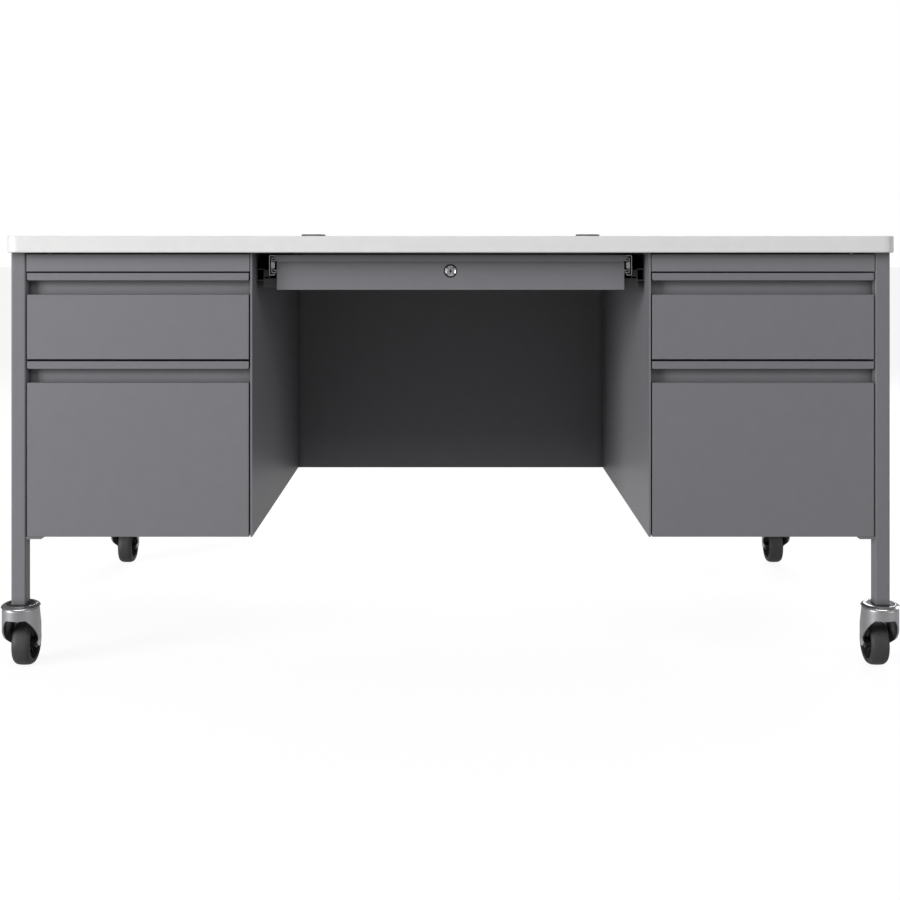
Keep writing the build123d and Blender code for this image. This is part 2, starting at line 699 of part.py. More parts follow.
def axle(name, x, y):
    """A rivet through the fork's plates, with a low head formed on each."""
    with BuildPart() as bolt:
        with BuildSketch(side_plane(x - PLATE_HALF, y + TRAIL, WHEEL_R)):
            Circle(AXLE_R)
        extrude(amount=2 * PLATE_HALF)
        for near in (-PLATE_HALF - AXLE_HEAD, PLATE_HALF):
            with BuildSketch(side_plane(x + near, y + TRAIL, WHEEL_R)):
                Circle(AXLE_HEAD_R)
            extrude(amount=AXLE_HEAD)
    save(bolt, name)


def wheel(corner, x, y):
    """A tyre on a moulded hub with a running bore."""
    centre = Plane(origin=(x, y + TRAIL, WHEEL_R), x_dir=(1, 0, 0), z_dir=(0, -1, 0))
    turning = Axis((x, y + TRAIL, WHEEL_R), (1, 0, 0))
    with BuildPart() as tyre:
        with BuildSketch(centre) as section:
            patch((-WHEEL_HALF, WHEEL_HALF), (TYRE_INNER_R, WHEEL_R))
            fillet(section.vertices().group_by(Axis.Y)[-1], TREAD_ROUND)
        revolve(axis=turning)
    save(tyre, f"{corner}_tyre")
    with BuildPart() as hub:
        with BuildSketch(centre):
            patch((-WHEEL_HALF + 1, WHEEL_HALF - 1), (TYRE_INNER_R - 4.0, TYRE_INNER_R))
            patch((-3.0, 3.0), (8.0, TYRE_INNER_R - 2.0))
            patch((-18.6, 18.6), (AXLE_R + RUNNING, 9.5))
        revolve(axis=turning)
        # ribs between the boss and the rim, clear of both faces of the rim
        with BuildSketch(side_plane(x - 9.0, y + TRAIL, WHEEL_R)):
            with PolarLocations(18.5, 6):
                Rectangle(21.0, 2.4)
        extrude(amount=18.0)
    save(hub, f"{corner}_hub")


def brake_pedal(name, x, y):
    """A foot pedal that turns on the fork's pin and carries a shoe over the tread."""
    pivot_y, pivot_z = PEDAL_PIVOT
    with BuildPart() as pedal:
        with BuildSketch(side_plane(x - 11.0, y)):
            with BuildLine():
                Polyline(
                    (pivot_y, pivot_z + 4.6),
                    (PEDAL_REACH - 10.0, pivot_z + 1.5),
                    (PEDAL_REACH - 1.0, pivot_z + 4.5),
                    (PEDAL_REACH, pivot_z + 1.0),
                    (PEDAL_REACH - 10.0, pivot_z - 2.5),
                    (pivot_y + 22.0, pivot_z - 1.0),
                    (pivot_y + 16.0, 77.0),
                    (pivot_y + 8.0, 78.5),
                    (pivot_y, pivot_z - 4.6),
                    close=True,
                )
            make_face()
            with Locations((pivot_y, pivot_z)):
                Circle(4.6)
                Circle(PEDAL_PIN_R + RUNNING, mode=Mode.SUBTRACT)
        extrude(amount=22.0)
    save(pedal, name)


for corner, (x, y) in CORNERS.items():
    rear = corner.startswith("rear")
    fork(f"{corner}_fork", x, y, rear)
    axle(f"{corner}_axle", x, y)
    wheel(corner, x, y)
    if rear:
        brake_pedal(f"{corner}_brake_pedal", x, y)

# ------------------------------------------------------------------ worktop screws
SCREW_HEAD = 2.6
with BuildPart() as top_screws:
    places = [
        (side * x, y) for side in SIDES.values() for x in FLANGE_SCREW_X for y in FLANGE_SCREW_Y
    ]
    with BuildSketch(Plane.XY.offset(UNDERSIDE - SHEET - SCREW_HEAD)):
        with Locations(*places):
            Circle(2 * SCREW_R)
    extrude(amount=SCREW_HEAD)
    with BuildSketch(Plane.XY.offset(UNDERSIDE - SHEET)):
        with Locations(*places):
            Circle(SCREW_R)
    extrude(amount=SHEET + 18.0)
save(top_screws, "top_screws")
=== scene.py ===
import json
import math

import bmesh
import bpy
from mathutils import Matrix, Vector


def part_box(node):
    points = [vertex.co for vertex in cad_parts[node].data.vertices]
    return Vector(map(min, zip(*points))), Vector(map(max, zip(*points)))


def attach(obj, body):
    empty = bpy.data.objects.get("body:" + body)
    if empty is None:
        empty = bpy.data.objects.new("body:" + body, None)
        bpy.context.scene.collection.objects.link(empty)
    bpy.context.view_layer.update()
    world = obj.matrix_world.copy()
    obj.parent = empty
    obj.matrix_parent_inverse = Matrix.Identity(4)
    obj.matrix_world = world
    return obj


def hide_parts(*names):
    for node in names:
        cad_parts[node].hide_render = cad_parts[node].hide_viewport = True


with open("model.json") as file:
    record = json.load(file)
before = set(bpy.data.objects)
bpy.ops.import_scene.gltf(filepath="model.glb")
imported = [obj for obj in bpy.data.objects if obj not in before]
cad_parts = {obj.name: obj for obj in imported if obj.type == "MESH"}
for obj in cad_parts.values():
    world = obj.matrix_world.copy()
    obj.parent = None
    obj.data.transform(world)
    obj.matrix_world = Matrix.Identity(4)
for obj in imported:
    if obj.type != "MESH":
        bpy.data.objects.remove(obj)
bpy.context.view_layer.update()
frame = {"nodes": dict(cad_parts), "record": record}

SCENE = bpy.context.scene
NODES = frame["nodes"]
MM = 0.001

# ------------------------------------------------------------------ camera
CAMERA_DISTANCE = 2.151  # in front of the worktop's front edge
CAMERA_HEIGHT = 0.745
LENS = 50.5
SHIFT = (-0.0006, -0.235)  # the desk hangs low in a level view

top_low, top_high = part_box("edge_band")
camera = bpy.data.objects.new("camera", bpy.data.cameras.new("camera"))
SCENE.collection.objects.link(camera)
camera.location = (0.0, top_low.y - CAMERA_DISTANCE, CAMERA_HEIGHT)
camera.rotation_euler = (math.radians(90.0), 0.0, 0.0)
camera.data.lens = LENS
camera.data.shift_x, camera.data.shift_y = SHIFT
SCENE.camera = camera

# ------------------------------------------------------------------ light
SCENE.view_settings.view_transform = "Standard"
WORLD_FILL = 0.05  # strength of the even fill
WORLD_SHINE = 0.12  # strength seen in reflections


def studio():
    """A white backdrop for the camera, a pale room in polished metal and a dim even fill."""
    world = bpy.data.worlds.new("studio")
    world.use_nodes = True
    tree = world.node_tree
    fill = tree.nodes["Background"]
    fill.inputs["Color"].default_value = (1.0, 1.0, 1.0, 1.0)
    fill.inputs["Strength"].default_value = WORLD_FILL
    ray = tree.nodes.new("ShaderNodeLightPath")
    last = fill
    for kind, strength in (("Is Glossy Ray", WORLD_SHINE), ("Is Camera Ray", 1.0)):
        backdrop = tree.nodes.new("ShaderNodeBackground")
        backdrop.inputs["Color"].default_value = (1.0, 1.0, 1.0, 1.0)
        backdrop.inputs["Strength"].default_value = strength
        both = tree.nodes.new("ShaderNodeMixShader")
        tree.links.new(ray.outputs[kind], both.inputs[0])
        tree.links.new(last.outputs[0], both.inputs[1])
        tree.links.new(backdrop.outputs[0], both.inputs[2])
        last = both
    tree.links.new(last.outputs[0], tree.nodes["World Output"].inputs["Surface"])
    SCENE.world = world


studio()


def area_light(name, place, target, size, power):
    """A large soft rectangular light that faces a point."""
    data = bpy.data.lights.new(name, "AREA")
    data.shape = "RECTANGLE"
    data.size, data.size_y = size
    data.energy = power
    light = bpy.data.objects.new(name, data)
    SCENE.collection.objects.link(light)
    light.location = place
    light.rotation_euler = (Vector(target) - Vector(place)).to_track_quat("-Z", "Y").to_euler()


# name, place, the point it faces, size and power
area_light("front_high", (0.0, -3.2, 3.2), (0.0, -0.2, 0.5), (4.5, 1.8), 61.0)
area_light("left_low", (-4.2, -2.9, 1.3), (0.0, -0.3, 0.5), (1.6, 2.0), 181.0)
area_light("right_low", (4.2, -2.9, 1.3), (0.0, -0.3, 0.5), (1.6, 2.0), 41.0)
area_light("back", (0.6, 3.6, 2.4), (0.0, 0.0, 0.4), (3.5, 2.0), 85.0)
area_light("side_right", (4.0, 1.8, 1.7), (0.0, 0.0, 0.5), (2.2, 1.8), 30.0)

# ------------------------------------------------------------------ node helpers
def material(name):
    """A new node material and its shader."""
    made = bpy.data.materials.new(name)
    made.use_nodes = True
    made.node_tree.nodes["Principled BSDF"].inputs["Specular IOR Level"].default_value = 0.3
    return made, made.node_tree, made.node_tree.nodes["Principled BSDF"]


def node(tree, kind, settings=None, **inputs):
    """Add a shader node, set its attributes and fill or link its inputs."""
    made = tree.nodes.new("ShaderNode" + kind)
    for key, value in (settings or {}).items():
        setattr(made, key, value)
    for key, value in inputs.items():
        socket = made.inputs[key.replace("_", " ")]
        if isinstance(value, bpy.types.NodeSocket):
            tree.links.new(value, socket)
        else:
            socket.default_value = value
    return made


def place_of(tree):
    """The point's place in the frame, in metres."""
    return node(tree, "TexCoord").outputs["Object"]


def noise(tree, scale, detail=3.0, roughness=0.5, place=None):
    made = node(
        tree, "TexNoise", Vector=place or place_of(tree), Scale=scale, Detail=detail, Roughness=roughness
    )
    return made.outputs["Fac"]


def ramp(tree, fac, low, high):
    """Map 0..1 onto low..high, which are numbers or colours."""
    if isinstance(low, tuple):
        made = node(tree, "Mix", {"data_type": "RGBA"})
        tree.links.new(fac, made.inputs[0])
        made.inputs[6].default_value = (*low, 1.0)
        made.inputs[7].default_value = (*high, 1.0)
        return made.outputs[2]
    made = node(tree, "MapRange", Value=fac, To_Min=low, To_Max=high)
    return made.outputs["Result"]


def bump(tree, shader, height, strength, distance):
    made = node(tree, "Bump", Height=height, Strength=strength, Distance=distance)
    tree.links.new(made.outputs["Normal"], shader.inputs["Normal"])


def tint(colour, factor):
    return tuple(channel * factor for channel in colour)


# ------------------------------------------------------------------ materials
# Paint is darkened in folds and narrow gaps, in place of shade that the lamps don't give.  The
# node reads neighbouring pieces too, so a bake keeps the shade of the pose that it is made in.
PAINTED_SHADE_REACH = 13.0 * MM
PAINTED_SHADE_TONE = 0.34
BACKER_EDGE = 0.5 * MM  # how far up from its underside the board shows its backer


def powder_coat(name, colour, gloss=0.42):
    """Baked powder paint: fine orange peel, faint mottling in tone and gloss, and painted shade that darkens
    it in folds and narrow gaps.
    """
    made, tree, shader = material(name)
    mottle = ramp(tree, noise(tree, 38.0, 4.0, 0.55), tint(colour, 0.955), tint(colour, 1.045))
    # painted shade: ambient occlusion darkens the colour in folds and narrow gaps, reading neighbouring
    # pieces too
    painted_shade = node(tree, "AmbientOcclusion", {"samples": 8}, Distance=PAINTED_SHADE_REACH).outputs["AO"]
    shaded = node(tree, "Mix", {"data_type": "RGBA", "blend_type": "MULTIPLY"})
    shaded.inputs[0].default_value = 1.0
    tree.links.new(mottle, shaded.inputs[6])
    tree.links.new(ramp(tree, painted_shade, (PAINTED_SHADE_TONE,) * 3, (1.0, 1.0, 1.0)), shaded.inputs[7])
    tree.links.new(shaded.outputs[2], shader.inputs["Base Color"])
    sheen = ramp(tree, noise(tree, 260.0, 2.0), gloss - 0.06, gloss + 0.08)
    tree.links.new(sheen, shader.inputs["Roughness"])
    bump(tree, shader, noise(tree, 1100.0, 2.0, 0.45), 0.09, 0.0004)
    return made


def laminate(name, colour, backer, underside):
    """Light laminate with a faint speckle; the underside has a brown backer sheet."""
    made, tree, shader = material(name)
    place = place_of(tree)
    speckle = noise(tree, 520.0, 5.0, 0.7, place)
    face = ramp(tree, speckle, tint(colour, 0.965), tint(colour, 1.02))
    height = node(tree, "SeparateXYZ", Vector=place).outputs["Z"]
    below = node(tree, "Math", {"operation": "LESS_THAN"})
    tree.links.new(height, below.inputs[0])
    below.inputs[1].default_value = underside
    grain = ramp(tree, noise(tree, 90.0, 6.0, 0.6, place), tint(backer, 0.8), tint(backer, 1.2))
    both = node(tree, "Mix", {"data_type": "RGBA"})
    tree.links.new(below.outputs[0], both.inputs[0])
    tree.links.new(face, both.inputs[6])
    tree.links.new(grain, both.inputs[7])
    tree.links.new(both.outputs[2], shader.inputs["Base Color"])
    tree.links.new(ramp(tree, noise(tree, 160.0, 3.0, 0.5, place), 0.3, 0.4), shader.inputs["Roughness"])
    bump(tree, shader, noise(tree, 1500.0, 3.0, 0.5, place), 0.05, 0.0002)
    return made


def plastic(name, colour, roughness, grain_scale, grain):
    """Moulded plastic with a fine spark-eroded grain."""
    made, tree, shader = material(name)
    cloud = noise(tree, 55.0, 3.0)
    tree.links.new(ramp(tree, cloud, tint(colour, 0.96), tint(colour, 1.04)), shader.inputs["Base Color"])
    sheen = ramp(tree, noise(tree, 300.0, 2.0), roughness - 0.05, roughness + 0.05)
    tree.links.new(sheen, shader.inputs["Roughness"])
    bump(tree, shader, noise(tree, grain_scale, 2.0, 0.6), grain, 0.0003)
    return made


def plated(name, colour, roughness, smear, spangle=0.0):
    """Plated metal: a directional polish and, for zinc, cloudy passivation."""
    made, tree, shader = material(name)
    shader.inputs["Metallic"].default_value = 1.0
    place = place_of(tree)
    cloud = noise(tree, 70.0, 4.0, 0.6, place)
    clouded = ramp(tree, cloud, tint(colour, 1.0 - spangle), tint(colour, 1.0 + spangle))
    tree.links.new(clouded, shader.inputs["Base Color"])
    stretch = node(tree, "Mapping", Vector=place, Scale=(1.0, 0.08, 1.0))
    drawn = noise(tree, 1400.0, 3.0, 0.6, stretch.outputs["Vector"])
    tree.links.new(ramp(tree, drawn, roughness - smear, roughness + smear), shader.inputs["Roughness"])
    bump(tree, shader, drawn, 0.04, 0.0002)
    return made


def rubber(name, colour):
    """Grey-black thermoplastic tread with scuffs."""
    made, tree, shader = material(name)
    scuff = noise(tree, 120.0, 6.0, 0.7)
    tree.links.new(ramp(tree, scuff, tint(colour, 0.8), tint(colour, 1.25)), shader.inputs["Base Color"])
    tree.links.new(ramp(tree, noise(tree, 340.0, 3.0), 0.42, 0.6), shader.inputs["Roughness"])
    bump(tree, shader, noise(tree, 1800.0, 3.0, 0.6), 0.12, 0.0003)
    return made


CHARCOAL = (0.211, 0.208, 0.224)
LAMINATE = (0.80, 0.80, 0.79)
BACKER = (0.20, 0.14, 0.09)
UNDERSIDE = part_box("desk_top")[0].z
MATERIALS = {
    "laminate_board": laminate("laminate_board", LAMINATE, BACKER, UNDERSIDE + BACKER_EDGE),
    "edge_band": plastic("edge_band", (0.84, 0.84, 0.835), 0.32, 900.0, 0.04),
    "grommet_plastic": plastic("grommet_plastic", (0.16, 0.16, 0.165), 0.45, 1300.0, 0.12),
    # the three paints below carry painted shade in folds and narrow gaps, from powder_coat
    "charcoal_paint": powder_coat("charcoal_paint", CHARCOAL),
    "bracket_paint": powder_coat("bracket_paint", (0.10, 0.10, 0.105), 0.5),
    "drawer_paint": powder_coat("drawer_paint", CHARCOAL, 0.46),
    "zinc_plate": plated("zinc_plate", (0.62, 0.63, 0.65), 0.3, 0.08, 0.10),
    "chrome_plate": plated("chrome_plate", (0.88, 0.88, 0.89), 0.24, 0.05, 0.02),
    "fork_zinc": plated("fork_zinc", (0.42, 0.42, 0.43), 0.4, 0.07, 0.09),
    "tyre_rubber": rubber("tyre_rubber", (0.055, 0.055, 0.056)),
    "hub_plastic": plastic("hub_plastic", (0.035, 0.035, 0.036), 0.4, 1200.0, 0.1),
    "pedal_plastic": plastic("pedal_plastic", (0.03, 0.03, 0.03), 0.5, 1200.0, 0.15),
}

# each CAD node keeps its shape and takes its slot's finish
SLOT_OF = {part["node"]: part["material_slot"] for part in frame["record"]["subparts"]}
for name, cad_node in NODES.items():
    for holder in cad_node.material_slots:
        holder.material = MATERIALS[SLOT_OF[name]]

# ------------------------------------------------------------------ mesh helpers
AXES = {
    "X": (Vector((1, 0, 0)), Vector((0, 1, 0)), Vector((0, 0, 1))),
    "Y": (Vector((0, 1, 0)), Vector((0, 0, 1)), Vector((1, 0, 0))),
    "Z": (Vector((0, 0, 1)), Vector((1, 0, 0)), Vector((0, 1, 0))),
}


def piece(name, build, body, slot, replaces=(), bevel=0.0, wall=0.0, sharp=35.0):
    """Finish a mesh as a named piece that rides on a body and takes a slot's finish."""
    bmesh.ops.remove_doubles(build, verts=build.verts, dist=1e-6)
    bmesh.ops.recalc_face_normals(build, faces=build.faces)
    if wall:
        face_outward(build)
    mesh = bpy.data.meshes.new(name)
    build.to_mesh(mesh)
    build.free()
    mesh.materials.append(MATERIALS[slot])
    mesh.shade_smooth()
    mesh.set_sharp_from_angle(angle=math.radians(sharp))
    made = bpy.data.objects.new(name, mesh)
    SCENE.collection.objects.link(made)
    if wall:
        shell = made.modifiers.new("wall", "SOLIDIFY")
        shell.thickness = wall
        shell.offset = -1.0
        shell.use_even_offset = True
    if bevel:
        round_edges(made, bevel)
    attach(made, body)
    if replaces:
        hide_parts(*replaces)
    return made


def face_outward(build):
    """Turn an open sheet's faces away from its middle, so that its wall grows inward."""
    build.faces.ensure_lookup_table()
    middle = sum((face.calc_center_median() for face in build.faces), Vector()) / len(build.faces)
    outermost = max(build.faces, key=lambda face: abs(face.calc_center_median().x - middle.x))
    if outermost.normal.dot(outermost.calc_center_median() - middle) < 0.0:
        bmesh.ops.reverse_faces(build, faces=build.faces)


def round_edges(made, width, segments=2):
    """Break sharp edges, as folding, moulding or deburring does."""
    modifier = made.modifiers.new("edges", "BEVEL")
    modifier.width = width
    modifier.segments = segments
    modifier.limit_method = "ANGLE"
    modifier.angle_limit = math.radians(40.0)
    modifier.harden_normals = False


def rounded(points, radius, closed=True, steps=4):
    """Round the corners of an outline.  The radius is one number, or one for each corner."""
    radii = radius if isinstance(radius, (list, tuple)) else [radius] * len(points)
    outline = []
    for i, point in enumerate(points):
        here = Vector(point)
        if radii[i] == 0 or (not closed and i in (0, len(points) - 1)):
            outline.append(here)
            continue
        before = Vector(points[i - 1]) - here
        after = Vector(points[(i + 1) % len(points)]) - here
        half = before.angle(after) / 2
        cut = min(radii[i] / math.tan(half), 0.49 * before.length, 0.49 * after.length)
        start = here + before.normalized() * cut
        end = here + after.normalized() * cut
        for k in range(steps + 1):
            t = k / steps
            outline.append(start * (1 - t) ** 2 + here * (2 * t * (1 - t)) + end * t * t)
    return outline


def strip(points, thickness):
    """Thicken an open line into a closed outline, to the left of the way it runs."""
    inner = []
    for i, point in enumerate(points):
        before = points[max(i - 1, 0)]
        after = points[min(i + 1, len(points) - 1)]
        run = (after - before).normalized()
        inner.append(point + Vector((-run.y, run.x)) * thickness)
    return list(points) + inner[::-1]


def lathe(build, profile, centre, axis, segments=72, closed=True):
    """Turn a profile of (radius, distance along the axis) points about an axis."""
    along, u, v = AXES[axis]
    rings = []
    for i in range(segments):
        angle = 2 * math.pi * i / segments
        out = u * math.cos(angle) + v * math.sin(angle)
        rings.append([build.verts.new(Vector(centre) + along * p[1] + out * p[0]) for p in profile])
    count = len(profile) if closed else len(profile) - 1
    for ring, after in zip(rings, rings[1:] + rings[:1]):
        for j in range(count):
            k = (j + 1) % len(profile)
            build.faces.new((ring[j], ring[k], after[k], after[j]))


def prism(build, outline, plane, start, end):
    """Extrude a closed outline.  plane maps an outline point and a distance to a place."""
    low = [build.verts.new(plane(p, start)) for p in outline]
    high = [build.verts.new(plane(p, end)) for p in outline]
    build.faces.new(low)
    build.faces.new(list(reversed(high)))
    for j in range(len(outline)):
        k = (j + 1) % len(outline)
        build.faces.new((low[j], high[j], high[k], low[k]))


def box(build, low, high):
    """A block between two corners."""
    x, y, z = [(low[i] + high[i]) / 2 for i in range(3)]
    size = [abs(high[i] - low[i]) for i in range(3)]
    spread = Matrix.Translation((x, y, z)) @ Matrix.Diagonal((*size, 1.0))
    bmesh.ops.create_cube(build, size=1.0, matrix=spread)


# ------------------------------------------------------------------ casters
CORNERS = ("front_left", "front_right", "rear_left", "rear_right")
SHEET_STEEL = 2.6 * MM


def swivel_axis(corner):
    """The upright line that a caster turns about, under the middle of its leg."""
    low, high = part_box(f"{corner}_leg")
    return (low + high) / 2


def wheel_centre(corner):
    low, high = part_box(f"{corner}_tyre")
    return (low + high) / 2


TRAIL = wheel_centre("front_left").y - swivel_axis("front_left").y
FORK_R = 31.1 * MM  # of the round hood
PLATE_HALF = 22.0 * MM  # outside of the plates beside the wheel
FORK_CROWN_REAR = 30.5 * MM  # behind the swivel axis
FORK_REAR = 42.4 * MM
FORK_BEVEL = 0.5 * MM
REAR_SLOPE = 3.45  # fall of the plates' upper edge behind the crown
CROWN_ROLL = 3.2 * MM
BOSS_R = 10.5 * MM
BOSS_HEIGHT = 0.5 * MM
# The hood's lower edge, in millimetres above the floor against millimetres behind the axis.
SWEEP = (58.6, -1.092, 0.00587)  # constant, linear and square terms
SWEEP_TOP = 91.4
SWEEP_END = 20.5
AXLE_ARC = (31.5, 42.0, 11.0, 10.4)  # its middle, both as depth and height, half width and fall


def fork_half_width(y):
    """Half the fork's width behind its swivel axis: the hood narrows to two parallel plates."""
    starts = 4.0 * MM
    ends = 24.5 * MM
    t = min(max((y - starts) / (ends - starts), 0.0), 1.0)
    return PLATE_HALF + (FORK_R - PLATE_HALF) * 0.5 * (1.0 + math.cos(math.pi * t))


def fork_edge(y):
    """Height of the hood's lower edge, which sweeps down and back and turns up round the axle."""
    run = y / MM
    sweep = SWEEP[0] + SWEEP[1] * run + SWEEP[2] * run * run
    arc_middle, arc_height, arc_half, arc_fall = AXLE_ARC
    across = min(max((run - arc_middle) / arc_half, -1.0), 1.0)
    arc = arc_height - arc_fall * math.sqrt(1.0 - across * across)
    if run < SWEEP_END:
        return min(sweep, SWEEP_TOP) * MM
    return (max(sweep, arc) if run < arc_middle else arc) * MM


def fork(corner):
    """A stamped hood with a rolled crown, open below and behind, with a boss at each axle hole."""
    axis = swivel_axis(corner)
    wheel = wheel_centre(corner)
    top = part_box(f"{corner}_fork")[1].z
    roll = CROWN_ROLL
    rows, rolls, across = 12, 5, 10
    turns, lengths = 16, 24
    arc = [math.pi / 2 * (1 - i / turns) for i in range(turns + 1)]
    places = [(FORK_R * math.cos(a), -FORK_R * math.sin(a)) for a in arc]
    depths = [FORK_REAR * i / lengths for i in range(1, lengths + 1)]
    places += [(fork_half_width(y), y) for y in depths]
    build = bmesh.new()

    def column(x, y, side):
        inward = Vector((-side, 0, 0)) if y > 0 else Vector((-side * x, -y, 0)).normalized()
        bottom = fork_edge(y)
        crowned = y <= FORK_CROWN_REAR
        end = top - roll if crowned else top - (y - FORK_CROWN_REAR) * REAR_SLOPE
        verts = []
        for r in range(rows + 1):
            z = bottom + (max(end, bottom + 0.5 * MM) - bottom) * r / rows
            reach = math.hypot(y - TRAIL, z - wheel.z)
            boss = BOSS_HEIGHT * min(max((BOSS_R - reach) / (2.0 * MM), 0.0), 1.0)
            verts.append(build.verts.new((axis.x + side * (x + boss), axis.y + y, z)))
        if crowned:
            for r in range(1, rolls + 1):
                a = math.pi / 2 * r / rolls
                shift = inward * roll * (1 - math.cos(a))
                z = top - roll + roll * math.sin(a)
                verts.append(build.verts.new(Vector((axis.x + side * x, axis.y + y, z)) + shift))
        return verts

    left = [column(x, y, -1) for x, y in places]
    right = [column(x, y, 1) for x, y in places]
    for half in (left, right):
        for a, b in zip(half, half[1:]):
            for r in range(min(len(a), len(b)) - 1):
                build.faces.new((a[r], b[r], b[r + 1], a[r + 1]))
    crowned = [i for i, p in enumerate(places) if p[1] <= FORK_CROWN_REAR]
    strips = []
    for i in crowned:
        a, b = left[i][-1], right[i][-1]
        inner = [build.verts.new(a.co.lerp(b.co, k / across)) for k in range(1, across)]
        strips.append([a, *inner, b])
    for a, b in zip(strips, strips[1:]):
        for k in range(across):
            build.faces.new((a[k], a[k + 1], b[k + 1], b[k]))
    body = f"{corner}_swivel"
    replaced = (f"{corner}_fork",)
    piece(f"{corner}_stamped_fork", build, body, "fork_zinc", replaced, FORK_BEVEL, SHEET_STEEL)


def turned(name, body, slot, profile, centre, axis, replaces=(), closed=True, segments=96, sharp=35.0):
    """A lathe-turned piece from a profile of (radius, along) in millimetres."""
    build = bmesh.new()
    lathe(build, [(r * MM, a * MM) for r, a in profile], centre, axis, segments, closed)
    return piece(name, build, body, slot, replaces, sharp=sharp)


def mirrored(half):
    """A closed section from the half of it on one side of the middle."""
    return list(half) + [(r, -a) for r, a in reversed(half)]


# turned sections: radius, and height above the floor or distance from the wheel's middle
RACE_RING = (
    (21.0, 113.2), (23.7, 113.4), (24.0, 114.6), (24.7, 115.2), (26.0, 115.25), (27.6, 114.9), (29.4, 114.1),
    (31.0, 113.1), (32.1, 112.1), (32.75, 111.3), (32.98, 110.9), (32.8, 110.65), (32.3, 110.65),
    (21.0, 112.0),
)
RACE_WASHER = (
    (5.6, 113.98), (22.9, 113.98), (23.4, 114.3), (23.45, 114.9), (23.1, 115.35), (22.6, 115.45),
    (13.2, 115.45), (12.6, 115.1), (5.6, 115.1),
)
KINGPIN = (
    (0.0, 97.0), (2.2, 96.6), (4.0, 96.0), (8.6, 96.1), (9.7, 96.8), (10.0, 97.9), (9.9, 99.0),
    (6.1, 102.6), (5.95, 110.7), (5.95, 113.5), (5.4, 114.0), (5.4, 149.4), (4.6, 150.0), (0.0, 150.0),
)
TYRE = (
    (38.1, 0.0), (38.08, 3.0), (37.95, 6.0), (37.65, 8.6), (37.05, 10.8), (36.2, 12.6), (35.2, 13.9),
    (34.3, 14.9), (33.6, 15.3), (32.9, 15.3), (32.4, 14.9), (32.0, 14.4),
)
HUB = (
    (32.0, 14.3), (31.4, 14.85), (30.4, 14.9), (29.8, 14.3), (29.2, 14.1), (28.7, 14.8), (27.9, 14.85),
    (27.5, 13.6), (27.2, 9.0), (26.4, 4.4), (25.0, 3.1), (19.0, 2.95), (18.6, 3.5), (17.6, 3.5), (17.2, 2.95),
    (11.6, 2.95), (10.4, 3.6), (9.6, 6.0), (9.45, 10.0), (9.35, 17.7), (8.7, 18.5), (4.1, 18.5),
)
AXLE_HEAD = (
    (0.0, 22.7), (1.3, 22.75), (2.0, 23.15), (3.6, 23.35), (5.2, 23.0), (6.1, 22.4), (6.15, 22.02),
    (4.0, 22.0),
)
RIB_COUNT = 6
RIB_HALF = 1.2 * MM
RIB_SECTION = ((9.2 * MM, 8.8 * MM), (17.0 * MM, 6.6 * MM), (27.6 * MM, 8.8 * MM))


def wheel(corner):
    """A crowned tyre with bead lines on a ribbed hub, and the rivet that it spins on."""
    centre = wheel_centre(corner)
    body = f"{corner}_wheel"
    turned(f"{corner}_moulded_tyre", body, "tyre_rubber", mirrored(TYRE), centre, "X", (f"{corner}_tyre",))
    build = bmesh.new()
    lathe(build, [(r * MM, a * MM) for r, a in mirrored(HUB)], centre, "X", 96)
    for k in range(RIB_COUNT):
        angle = 2 * math.pi / RIB_COUNT * k
        out = Vector((0, math.cos(angle), math.sin(angle)))
        aside = Vector((0, -math.sin(angle), math.cos(angle)))

        def plane(p, t, out=out, aside=aside):
            return centre + Vector((p[1], 0, 0)) + out * p[0] + aside * t

        prism(build, mirrored(RIB_SECTION), plane, -RIB_HALF, RIB_HALF)
    piece(f"{corner}_ribbed_hub", build, body, "hub_plastic", (f"{corner}_hub",))
    fixed_to = f"{corner}_swivel"
    rivet = mirrored(AXLE_HEAD)
    replaced = (f"{corner}_axle",)
    turned(f"{corner}_axle_rivet", fixed_to, "zinc_plate", rivet, centre, "X", replaced, closed=False)


def raceway(corner):
    """The half of the swivel that stays with the leg: polished ring, black washer, kingpin and stem."""
    foot = swivel_axis(corner)
    foot.z = 0.0
    fixed = ("caster_raceways",)
    turned(f"{corner}_race_ring", "desk", "chrome_plate", RACE_RING, foot, "Z", fixed)
    turned(f"{corner}_race_washer", "desk", "hub_plastic", RACE_WASHER, foot, "Z", fixed)
    turned(f"{corner}_kingpin", "desk", "zinc_plate", KINGPIN, foot, "Z", fixed, closed=False)


# brake outlines: millimetres behind the swivel axis and above the floor
PEDAL_PIVOT = (36.0, 97.0)
PEDAL_OUTLINE = (
    (34.0, 101.4), (42.0, 101.2), (78.0, 98.5), (86.6, 101.4), (88.0, 98.2), (78.0, 94.5), (58.5, 95.6),
    (52.0, 77.0), (44.0, 78.5), (31.6, 94.0),
)
PEDAL_ROUND = (2.5, 2.0, 6.0, 1.0, 1.0, 5.0, 6.0, 1.5, 1.5, 2.5)
PEDAL_HALF = 11.0 * MM
EAR_OUTLINE = ((17.0, 106.8), (40.6, 106.8), (40.6, 93.0), (34.0, 92.2), (17.0, 97.0))
EAR_STARTS = (-15.5, 13.1)
EAR_SHEET = 2.4
PEDAL_PIN = ((0.0, 16.6), (2.6, 16.4), (3.0, 15.6), (2.0, 15.5))
GRIP_START = 55.0
GRIP_PITCH = 3.6
GRIP_RIDGES = 7


def upright(corner):
    """Map (distance behind the swivel axis, height) and a distance along X to a place."""
    axis = swivel_axis(corner)
    return lambda p, x: Vector((axis.x + x, axis.y + p[0], p[1]))


